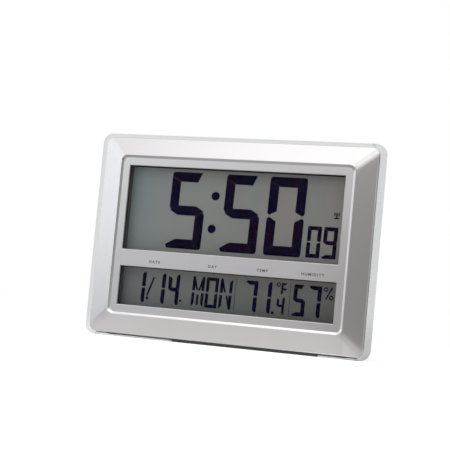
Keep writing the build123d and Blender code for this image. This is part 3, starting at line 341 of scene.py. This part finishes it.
letter_width, letter_height, letter_bottom = 10.0, 23.2, 28.2
peak = [(0.0, 12.4), (0.1, 22.5), (0.6, 23.2), (1.9, 23.2), (4.8, 13.3), (4.5, 12.6),
        (3.5, 12.6), (2.4, 16.2), (2.3, 12.4)]
leg = [(0.0, 0.0), (0.0, 10.4), (0.6, 11.0), (2.3, 10.3), (2.3, 2.6)]


def mirrored_letter(outline):
    return [(letter_width - x, z) for x, z in outline]


def turned_letter(outline):
    return [(letter_width - x, letter_height - z) for x, z in outline]


centre_leg = bar(letter_width / 2, 1.5, letter_width / 2, 9.4, 1.9)
letter_m = [peak, mirrored_letter(peak), leg, mirrored_letter(leg), centre_leg]
letter_o = segments(figures["0"], letter_width, letter_height, 2.5, gap)
letter_n = [peak, turned_letter(peak), leg, turned_letter(leg)]
letters = (("first", letter_m, -29.0), ("second", letter_o, -17.7), ("third", letter_n, -6.2))
for name, outlines, left in letters:
    cut_film("day_letter_" + name, placed(outlines, left, letter_bottom), film_face, segment_finish)

dividers = [bar(x, 27.4, x, 52.2, 0.35) for x in (6.6, 50.2)]
cut_film("dividers", dividers, film_face, segment_finish)
small_four = placed(segments(figures["4"], 6.2, 13.0, 1.9, gap, True), 40.1, row_bottom)
cut_film("figure_tenths", small_four, film_face, segment_finish)
degree_mark = [ring(40.7, 50.4, 1.65), ring(40.7, 50.4, 0.8)]
degree_mark += placed(segments("aefg", 5.1, 9.5, 1.6, 0.08), 42.8, 42.3)
cut_film("degree_mark", degree_mark, film_face, segment_finish)
percent_rings = ((77.7, 49.6), (82.2, 43.6))
percent_mark = [ring(x, z, radius) for x, z in percent_rings for radius in (1.75, 0.9)]
percent_mark.append(bar(78.0, 42.2, 82.4, 51.2, 1.05))
cut_film("percent_mark", percent_mark, film_face, segment_finish)


# Display tray: dark grey ABS moulding that holds the glass. Its deep window walls keep
# stray light off the display and show as dark borders at the left of the windows.
def moulded_plastic(name, colour, worn, roughness, grain=2200.0, depth=0.00005):
    """Finish of a plastic moulding: spark-textured, a little uneven in tone."""
    finish, shader, place = start_finish(name)
    clouds = noise(place, 30.0, 3.0)
    specks = noise(place, grain)
    feed(shader, Base_Color=mixed(clouds, colour, worn), Roughness=roughness - 0.08 + specks * 0.16)
    feed(shader, Normal=bumped(specks, 0.35, depth))
    return finish


lay_on(moulded_plastic("black_plastic", (0.085, 0.092, 0.082), (0.100, 0.108, 0.096), 0.55), "lcd_holder")


# Cover lens: clear acrylic sheet behind the windows, clamped between the panel and
# the tray. It shows only as a faint gloss over the display.
lens_finish, shader, place = start_finish("clear_lens")
gloss = place.node("ShaderNodeFresnel", None, {"IOR": 1.35})
dust = noise(place, 120.0, 4.0)
feed(shader, Alpha=gloss * 0.14, Roughness=0.03 + dust * 0.05)
settle(shader, Metallic=1.0, Base_Color=(0.95, 0.97, 0.96, 1.0))
lay_on(lens_finish, "display_lens")


# Front bezel: injection-moulded ABS with straight slopes that meet in soft corners, a thin
# raised ridge and a sunk panel. It is sprayed with a fine metallic silver lacquer, with painted
# highlights on its edges, painted light and shade on its panel and right slope, and its window
# walls painted black as shade.
panel_thickness = 0.002
panel_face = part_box("display_lens")[0].y - panel_thickness
panel_half, panel_foot, panel_middle, panel_top = 0.0932, 0.0190, 0.08, 0.1395
step_half, step_foot, step_top, step_reach = 0.0953, 0.0167, 0.0189, 0.0930
left_step_foot, left_step_top = 0.0180, 0.1380
low_sill, tall_sill, sill_height, sill_half = 0.0243, 0.0674, 0.0008, 0.0875
lip_half, lip_foot, lip_top, lip_start = 0.1096, 0.0031, 0.1500, 0.02
wall_half, wall_foot, wall_top = 0.0876, 0.0246, 0.1340
wall_front, wall_back = panel_face + 0.0006, panel_face + 0.0024
shade_left, shade_top = 0.055, 0.115
edge_fade = 0.0002
silver_finish, shader, place = start_finish("silver_paint")
flakes = noise(place, 5200.0, 1.0)
drift = noise(place, 14.0, 3.0)
lacquer = mixed(drift, (0.56, 0.545, 0.545), (0.60, 0.585, 0.585))
lacquer = mixed(flakes * 0.35, lacquer, (0.66, 0.65, 0.65))
aside, depth, height = [axis(place, number) for number in range(3)]
on_panel = between(aside, -panel_half, panel_half, edge_fade)
on_panel = on_panel * between(height, panel_foot, panel_top, edge_fade)
# Painted light: the panel is painted lighter towards the upper left, where the light falls.
upper_left = within(0.10 - aside * 0.6 + (height - panel_middle) * 0.8, 0.20)
lacquer = mixed(on_panel * upper_left * 0.36, lacquer, (0.86, 0.87, 0.88))
# Painted shade: the panel darkens towards its lower right.
painted_shade_lower_right = within(aside - shade_left, 0.04) * within(shade_top - height, 0.06)
lacquer = mixed(on_panel * painted_shade_lower_right * 0.34, lacquer, (0.32, 0.31, 0.30))
# Painted shade: the panel is painted darker and pinker away from the upper left.
lacquer = mixed(on_panel * (1.0 - upper_left) * 0.26, lacquer, (0.46, 0.415, 0.435))
# Painted light: the right slope is painted lighter and warmer.
painted_light_right_slope = within(aside - step_half, 0.0006)
lacquer = mixed(painted_light_right_slope * 0.24, lacquer, (0.80, 0.775, 0.745))
# Painted highlights: near-white lines on the foot and left steps, the window sills and the right and foot
# lips.
foot_step = between(height, step_foot, step_top, edge_fade)
lights = foot_step * between(aside, -step_reach, step_reach, 0.0030) * 0.40
left_step = between(aside, -step_half, -panel_half, edge_fade)
lights += left_step * between(height, left_step_foot, left_step_top, 0.0010)
for sill in (low_sill, tall_sill):
    painted_sill_highlight = between(height, sill, sill + sill_height, edge_fade)
    lights += painted_sill_highlight * between(aside, -sill_half, sill_half, 0.0004)
lights += within(aside - lip_half, 0.0004) * within(lip_top - height, 0.02) * 0.8
lights += within(lip_foot - height, 0.0003) * within(aside - lip_start, 0.08) * 0.8
lacquer = mixed(lights.math("MINIMUM", 1.0), lacquer, (0.95, 0.95, 0.94))
# Painted shade: the window walls are painted black for the shade inside the windows.
window_wall_shade = between(depth, wall_front, wall_back, edge_fade)
window_wall_shade = window_wall_shade * between(aside, -wall_half, wall_half, edge_fade)
window_wall_shade = window_wall_shade * between(height, wall_foot, wall_top, edge_fade)
feed(shader, Base_Color=mixed(window_wall_shade, lacquer, (0.010, 0.010, 0.010)))

frame_half, frame_foot, frame_top, frame_rise = 0.11105, 0.0023, 0.1555, 0.0048
side_slope, foot_slope, top_slope = 0.278, 0.301, 0.316
blend_width, blend_share, flake_height = 0.0042, 0.21, 0.0000024
side_rise = (frame_half - aside.math("ABSOLUTE")) * side_slope
end_rise = ((frame_top - height) * top_slope).math("MINIMUM", (height - frame_foot) * foot_slope)
lowest = side_rise.math("MINIMUM", end_rise)
rises = {0: side_rise, 1: end_rise, 2: blend_width}
blended = place.node("ShaderNodeMath", {"operation": "SMOOTH_MIN"}, rises)
rounding = (blended - lowest) * within(frame_rise - lowest, 0.0006) * blend_share
relief = bumped(rounding + flakes * flake_height, 1.0, 1.0)
feed(shader, Roughness=0.27 + flakes * 0.10 + drift * 0.03, Normal=relief)
settle(shader, Metallic=0.8, Coat_Weight=0.1, Coat_Roughness=0.2)
lay_on(silver_finish, "front_bezel")


# Words on the panel: small dark print that names the readings below it, put on with
# a printing pad after painting.
print_finish, shader, place = start_finish("dark_print")
dots = noise(place, 3000.0)
feed(shader, Base_Color=mixed(dots, (0.010, 0.010, 0.012), (0.030, 0.029, 0.032)), Roughness=0.5 + dots * 0.2)
stroke_gain = 0.02


def print_word(name, word, x, z, size, face, turn, spacing, finish):
    """Flat word on a face that looks forward, or backward with a half turn."""
    bpy.ops.object.select_all(action="DESELECT")
    bpy.ops.object.text_add()
    text = bpy.context.object
    text.name = name
    text.data.body = word
    text.data.size = size * millimetre
    text.data.space_character = spacing
    text.data.align_x = "CENTER"
    text.data.align_y = "CENTER"
    text.data.extrude = film_thickness / 2
    text.data.offset = size * millimetre * stroke_gain
    lone_select(text)
    bpy.ops.object.convert(target="MESH")
    text = bpy.context.object
    text.rotation_euler = (math.pi / 2, 0.0, turn)
    text.location = (x * millimetre, face, z * millimetre)
    bpy.ops.object.transform_apply(location=True, rotation=True, scale=True)
    text.data.materials.append(finish)
    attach(text, "case")


word_level, word_size, word_spacing = 59.3, 2.9, 1.4
for word, x in (("DATE", -58.8), ("DAY", -10.6), ("TEMP", 29.4), ("HUMIDITY", 68.9)):
    name = "word_" + word.lower()
    print_word(name, word, x, word_level, word_size, panel_face, 0.0, word_spacing, print_finish)


# Clear surround: pale acrylic frame clamped between the two halves of the case. Only its
# rim shows, a thin haze over what lies behind it, with painted shade greying it at the lower
# right and on the right side. A painted shadow line runs along the bezel's foot, a dark strip
# painted on its foot stands for the stand behind it and the shadow under the clock, and short
# marks lie near three of its corners.
acrylic_finish, shader, place = start_finish("clear_acrylic")
flow = noise(place, 26.0, 3.0)
gloss = place.node("ShaderNodeFresnel", None, {"IOR": 1.49})
haze = mixed(flow, (0.40, 0.44, 0.45), (0.48, 0.52, 0.53))
rightward, depth, height = [axis(place, number) for number in range(3)]
outward = rightward.math("ABSOLUTE")
# Painted shade: the haze is greyer and denser towards the lower right corner.
corner_left, corner_top = 0.09, 0.034
corner = within(rightward - corner_left, 0.015) * within(corner_top - height, 0.03)
tone = mixed(corner, haze, (0.22, 0.25, 0.255))
# Painted shadow: a dark line along the foot of the bezel stands for the shadow it casts on the rim.
bezel_shadow_foot, bezel_shadow_top, bezel_shadow_inner, bezel_shadow_outer, dark_line_fade = 0.0013, 0.0026, 0.0880, 0.1053, 0.0003
mark_inner, mark_outer, foot_mark_top, top_mark_foot = 0.1045, 0.1056, 0.0016, 0.1563
strip_left, strip_right, strip_top, strip_back = -0.0403, 0.0772, 0.0021, -0.0375
bezel_shadow_and_marks = between(height, bezel_shadow_foot, bezel_shadow_top, dark_line_fade) * between(outward, bezel_shadow_inner, bezel_shadow_outer, 0.0004)
foot_marks = between(outward, mark_inner, mark_outer, dark_line_fade)
bezel_shadow_and_marks += foot_marks * within(foot_mark_top - height, dark_line_fade) * 0.7
top_mark = between(rightward, mark_inner, mark_outer, dark_line_fade)
bezel_shadow_and_marks += top_mark * within(height - top_mark_foot, dark_line_fade) * 0.6
# A dark strip painted on the foot stands for the stand's near edge behind it and, past the stand's right end,
# painted shadow under the clock.
strip = between(rightward, strip_left, strip_right, 0.0006) * within(strip_top - height, 0.0004)
bezel_shadow_and_marks += strip * within(strip_back - depth, 0.0004) * 1.7
feed(shader, Base_Color=mixed(bezel_shadow_and_marks.math("MINIMUM", 1.0), tone, (0.03, 0.035, 0.035)))
feed(shader, Roughness=0.12 + flow * 0.08)
# Painted shade: the haze is denser on the right side, which greys it.
right_side_start = 0.1100
right_side = within(rightward - right_side_start, 0.001)
cover = 0.20 + gloss.math("MINIMUM", 0.12) * 0.5
feed(shader, Alpha=cover + right_side * 0.05 + corner * 0.12 + bezel_shadow_and_marks * 0.45)
lay_on(acrylic_finish, "clear_surround")


# Connector, main board and its parts: striped silicone rubber pressed between glass
# and board, green lacquered laminate, black resin, tinned cans and blue sleeves.
stripe_finish, shader, place = start_finish("connector_rubber")
stripe = (axis(place, 0) * 900.0).math("SINE").math("GREATER_THAN", 0.0)
feed(shader, Base_Color=mixed(stripe, (0.03, 0.03, 0.03), (0.45, 0.43, 0.40)), Roughness=0.6 + stripe * 0.1)
lay_on(stripe_finish, "zebra_strip")

board_finish, shader, place = start_finish("circuit_board")
cell_kind = {"distance": "MANHATTAN", "feature": "F1"}
cells = place.node("ShaderNodeTexVoronoi", cell_kind, {"Vector": place, "Scale": 260.0})
tracks = cells.math("GREATER_THAN", 0.62)
weave = noise(place, 1500.0)
feed(shader, Base_Color=mixed(tracks, (0.012, 0.085, 0.032), (0.030, 0.150, 0.055)))
feed(shader, Roughness=0.35 + weave * 0.15, Normal=bumped(tracks + weave * 0.2, 0.4, 0.00004))
lay_on(board_finish, "main_board", "receiver_board", "sensor_board")

resin_finish = moulded_plastic("chip_resin", (0.012, 0.012, 0.013), (0.02, 0.02, 0.02), 0.3, 900.0)
lay_on(resin_finish, "controller_chip", "receiver_chip")
lay_on(moulded_plastic("switch_plastic", (0.02, 0.02, 0.02), (0.035, 0.035, 0.035), 0.5), "tact_switches")
lay_on(moulded_plastic("capacitor_sleeve", (0.012, 0.02, 0.075), (0.02, 0.03, 0.10), 0.3), "board_capacitors")


def plated_metal(name, colour, tarnished, roughness):
    """Finish of bright metal: faint brush lines and a few duller patches."""
    finish, shader, place = start_finish(name)
    lines = noise(stretched(place, 200.0, 2500.0, 200.0), 1.0)
    patches = noise(place, 90.0, 3.0)
    feed(shader, Base_Color=mixed(patches, colour, tarnished), Roughness=roughness + lines * 0.15)
    feed(shader, Normal=bumped(lines, 0.15, 0.00002))
    settle(shader, Metallic=1.0)
    return finish


lay_on(plated_metal("tinned_metal", (0.62, 0.62, 0.62), (0.50, 0.50, 0.50), 0.22), "crystal_can")


# Aerial: ferrite rod with a winding of enamelled copper wire, snapped into two nylon
# clips on the floor of the stand's recess.
ferrite_finish = moulded_plastic("ferrite", (0.020, 0.020, 0.021), (0.040, 0.039, 0.038), 0.6, 1200.0, 0.0001)
lay_on(ferrite_finish, "ferrite_rod")

winding_finish, shader, place = start_finish("copper_winding")
turns = (axis(place, 0) * 18000.0).math("SINE") * 0.5 + 0.5
feed(shader, Base_Color=mixed(turns, (0.20, 0.065, 0.025), (0.48, 0.18, 0.075)))
feed(shader, Roughness=0.28 + turns * 0.12, Normal=bumped(turns, 0.6, 0.0001))
settle(shader, Metallic=0.85)
lay_on(winding_finish, "antenna_coil")
lay_on(plated_metal("enamel_wire", (0.42, 0.16, 0.07), (0.33, 0.12, 0.05), 0.3), "antenna_leads")
lay_on(moulded_plastic("clip_plastic", (0.62, 0.61, 0.57), (0.68, 0.67, 0.63), 0.45), "antenna_clips")


# Air sensors: white slotted housing for humidity and a small resin bead for
# temperature, soldered to the board behind the vents.
lay_on(moulded_plastic("sensor_plastic", (0.62, 0.63, 0.65), (0.70, 0.71, 0.72), 0.5), "humidity_sensor")
lay_on(moulded_plastic("sensor_bead", (0.015, 0.015, 0.015), (0.03, 0.03, 0.03), 0.25), "thermistor")


# Wires: soft insulation in black, red and white, soldered to the boards and contacts.
black_insulation = moulded_plastic("black_insulation", (0.012, 0.012, 0.012), (0.02, 0.02, 0.02), 0.42)
lay_on(black_insulation, "battery_lead_black")
red_insulation = moulded_plastic("red_insulation", (0.32, 0.010, 0.008), (0.40, 0.016, 0.012), 0.42)
lay_on(red_insulation, "battery_lead_red")
white_insulation = moulded_plastic("white_insulation", (0.60, 0.60, 0.57), (0.68, 0.68, 0.65), 0.45)
lay_on(white_insulation, "sensor_leads", "receiver_leads")


# Rear case and battery door: silver-grey ABS mouldings with a fine spark texture. The
# door hooks in at its lower edge and its sprung tongue lies in a notch at the top.
coarse_grain, coarse_depth = 1700.0, 0.00008
rear_colours = (0.300, 0.298, 0.305), (0.345, 0.342, 0.350)
rear_finish = moulded_plastic("grey_plastic", *rear_colours, 0.48, coarse_grain, coarse_depth)
lay_on(rear_finish, "rear_case", "battery_door")


# Buttons: grey plastic keys with crowned caps and long stems, loose in their holes
# between the rear case and the switches.
button_names = ("mode", "set", "up", "down", "unit", "receive")
key_finish = moulded_plastic("button_plastic", (0.140, 0.143, 0.150), (0.175, 0.178, 0.185), 0.35, 1500.0)
lay_on(key_finish, *[name + "_button" for name in button_names])
rear_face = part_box("rear_case")[1].y
key_drop, key_size, key_spacing = 7.6, 2.8, 1.1
for name, word in zip(button_names, ("MODE", "SET", "+", "-", "C/F", "WAVE")):
    low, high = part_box(name + "_button")
    middle = (low + high) / 2 / millimetre
    place = (middle.x, middle.z - key_drop)
    print_word("key_word_" + name, word, *place, key_size, rear_face, math.pi, key_spacing, print_finish)


# Cells and contacts: two cells in plain printed film with a coloured band at the plus
# end, nickel-plated plates and cone springs.
def cell_jacket(name, plus_side):
    finish, shader, place = start_finish(name)
    along = axis(place, 0) * plus_side
    black, copper, bare = (0.012, 0.012, 0.014), (0.42, 0.20, 0.06), (0.55, 0.54, 0.52)
    stops = [(0.0, black), (0.58, black), (0.585, copper), (0.97, copper), (0.975, bare)]
    band = along.node("ShaderNodeValToRGB", {"stops": stops}, {0: along * 18.0 + 0.5})
    rub = noise(place, 160.0, 4.0)
    feed(shader, Base_Color=band, Roughness=0.22 + rub * 0.16, Normal=bumped(rub, 0.08, 0.00003))
    settle(shader, Metallic=0.5)
    return finish


lay_on(cell_jacket("upper_jacket", 1.0), "upper_cell")
lay_on(cell_jacket("lower_jacket", -1.0), "lower_cell")
nickel = plated_metal("nickel_contact", (0.66, 0.64, 0.59), (0.56, 0.54, 0.49), 0.2)
lay_on(nickel, "bridge_contact", "negative_contact", "positive_contact", "contact_springs")


# Stand and pads: dark grey ABS plate that swings out on two pins, ribbed on the inner
# face, with soft rubber pads glued into its underside.
stand_colours = (0.026, 0.029, 0.031), (0.036, 0.040, 0.042)
lay_on(moulded_plastic("dark_plastic", *stand_colours, 0.5, coarse_grain, coarse_depth), "stand")
pad_colours = (0.014, 0.014, 0.014), (0.024, 0.024, 0.023)
lay_on(moulded_plastic("pad_rubber", *pad_colours, 0.8, 1000.0, 0.0001), "stand_pads")


# Screws: zinc-plated steel with pan heads and cross recesses, driven from the back.
screw_finish = plated_metal("plated_steel", (0.52, 0.52, 0.50), (0.42, 0.42, 0.40), 0.3)
lay_on(screw_finish, "case_screws", "board_screws", "holder_screws")


# Studio: white floor and white room, darker in gloss to the right and in front, with a large
# soft lamp above in front and a weaker bluish one at the left. The camera stands low on the
# right and is a little tilted.
floor_size = 12.0
bpy.ops.object.select_all(action="DESELECT")
bpy.ops.mesh.primitive_plane_add(size=floor_size, location=(0.0, 0.0, 0.0))
floor = bpy.context.object
floor.name = "studio_floor"
floor_finish, shader, place = start_finish("studio_white")
rays = shader.id_data.nodes.new("ShaderNodeLightPath").outputs
aside = axis(place, 0)
forward = axis(place, 1)
near_front, near_right = -0.14, 0.15
nearness = within(forward - near_front, 0.06) * within(near_right - aside, 0.05)
in_gloss = Wire(shader.id_data, rays["Is Glossy Ray"])
mirrored = mixed(in_gloss * nearness, (0.0, 0.0, 0.0), (0.55, 0.54, 0.53))
left_start, shade_start, shade_lean = -0.10, 0.095, 0.38
on_the_left = within(left_start - aside, 0.10)
left_floor = mixed(in_gloss * on_the_left, (0.80, 0.80, 0.80), (0.41, 0.43, 0.48))
right_shade = within(aside - forward * shade_lean - shade_start, 0.07)
feed(shader, Base_Color=mixed(in_gloss * right_shade, left_floor, (0.25, 0.24, 0.23)))
# Painted shadow: the floor's glow for the camera is switched off in a patch under the clock's front and
# stand, as a contact shadow.
contact_shadow_half, contact_shadow_front, contact_shadow_back = 0.050, -0.0355, 0.016
painted_contact_shadow = between(aside, -contact_shadow_half, contact_shadow_half, 0.002)
painted_contact_shadow = painted_contact_shadow * within(forward - contact_shadow_front, 0.003) * within(contact_shadow_back - forward, 0.034)
seen = Wire(shader.id_data, rays["Is Camera Ray"]) + Wire(shader.id_data, rays["Is Transmission Ray"])
lit = mixed(painted_contact_shadow, (0.66, 0.66, 0.66), (0.0, 0.0, 0.0))
feed(shader, Emission_Color=mixed(seen.math("MINIMUM", 1.0), mirrored, lit))
settle(shader, Roughness=1.0, Specular_IOR_Level=0.0, Emission_Strength=1.0)
floor.data.materials.append(floor_finish)

world = bpy.data.worlds.new("studio_room")
bpy.context.scene.world = world
world.use_nodes = True
room = world.node_tree
rays = room.nodes.new("ShaderNodeLightPath").outputs
way = Wire(room, room.nodes.new("ShaderNodeTexCoord").outputs["Generated"])
to_the_right = axis(way, 0)
to_the_back = axis(way, 1).math("MAXIMUM", 0.0)
upwards = axis(way, 2)
openness = within(0.34 - to_the_right * 1.4 + upwards * 2.2 + to_the_back * 3.0, 1.0)
mirrored = mixed(openness, (0.0, 0.0, 0.0), (1.0, 1.0, 1.0))
tone = mixed(Wire(room, rays["Is Glossy Ray"]), (0.42, 0.42, 0.43), mirrored)
seen = Wire(room, rays["Is Camera Ray"]) + Wire(room, rays["Is Transmission Ray"])
tone = mixed(seen.math("MINIMUM", 1.0), tone, (1.0, 1.0, 1.0))
room.links.new(tone.socket, room.nodes["Background"].inputs["Color"])


def soft_lamp(name, place, target, width, power, colour=(1.0, 1.0, 1.0)):
    lamp = bpy.data.lights.new(name, "AREA")
    lamp.shape = "SQUARE"
    lamp.size = width
    lamp.energy = power
    lamp.color = colour
    holder = bpy.data.objects.new(name, lamp)
    bpy.context.collection.objects.link(holder)
    holder.location = place
    holder.rotation_euler = (Vector(target) - Vector(place)).to_track_quat("-Z", "Y").to_euler()


clock_middle = (0.0, -0.03, 0.08)
soft_lamp("upper_lamp", (-0.08, -0.92, 1.00), clock_middle, 1.1, 4.5, (0.985, 1.0, 1.0))
soft_lamp("left_lamp", (-0.85, -0.48, 0.34), clock_middle, 0.65, 1.30, (0.87, 0.94, 1.0))

azimuth, elevation, roll = math.radians(21.807), math.radians(-3.916), math.radians(5.357)
level_part = math.cos(elevation)
back = Vector((math.sin(azimuth) * level_part, -math.cos(azimuth) * level_part, math.sin(elevation)))
camera = bpy.data.objects.new("camera", bpy.data.cameras.new("camera"))
bpy.context.collection.objects.link(camera)
camera.data.lens = 102.4
camera.data.sensor_width = 36.0
camera.location = (0.35429, -0.937235, 0.02556)
camera.rotation_mode = "QUATERNION"
camera.rotation_quaternion = Quaternion(back, roll) @ (-back).to_track_quat("-Z", "Y")
bpy.context.scene.camera = camera
bpy.context.scene.view_settings.view_transform = "Standard"
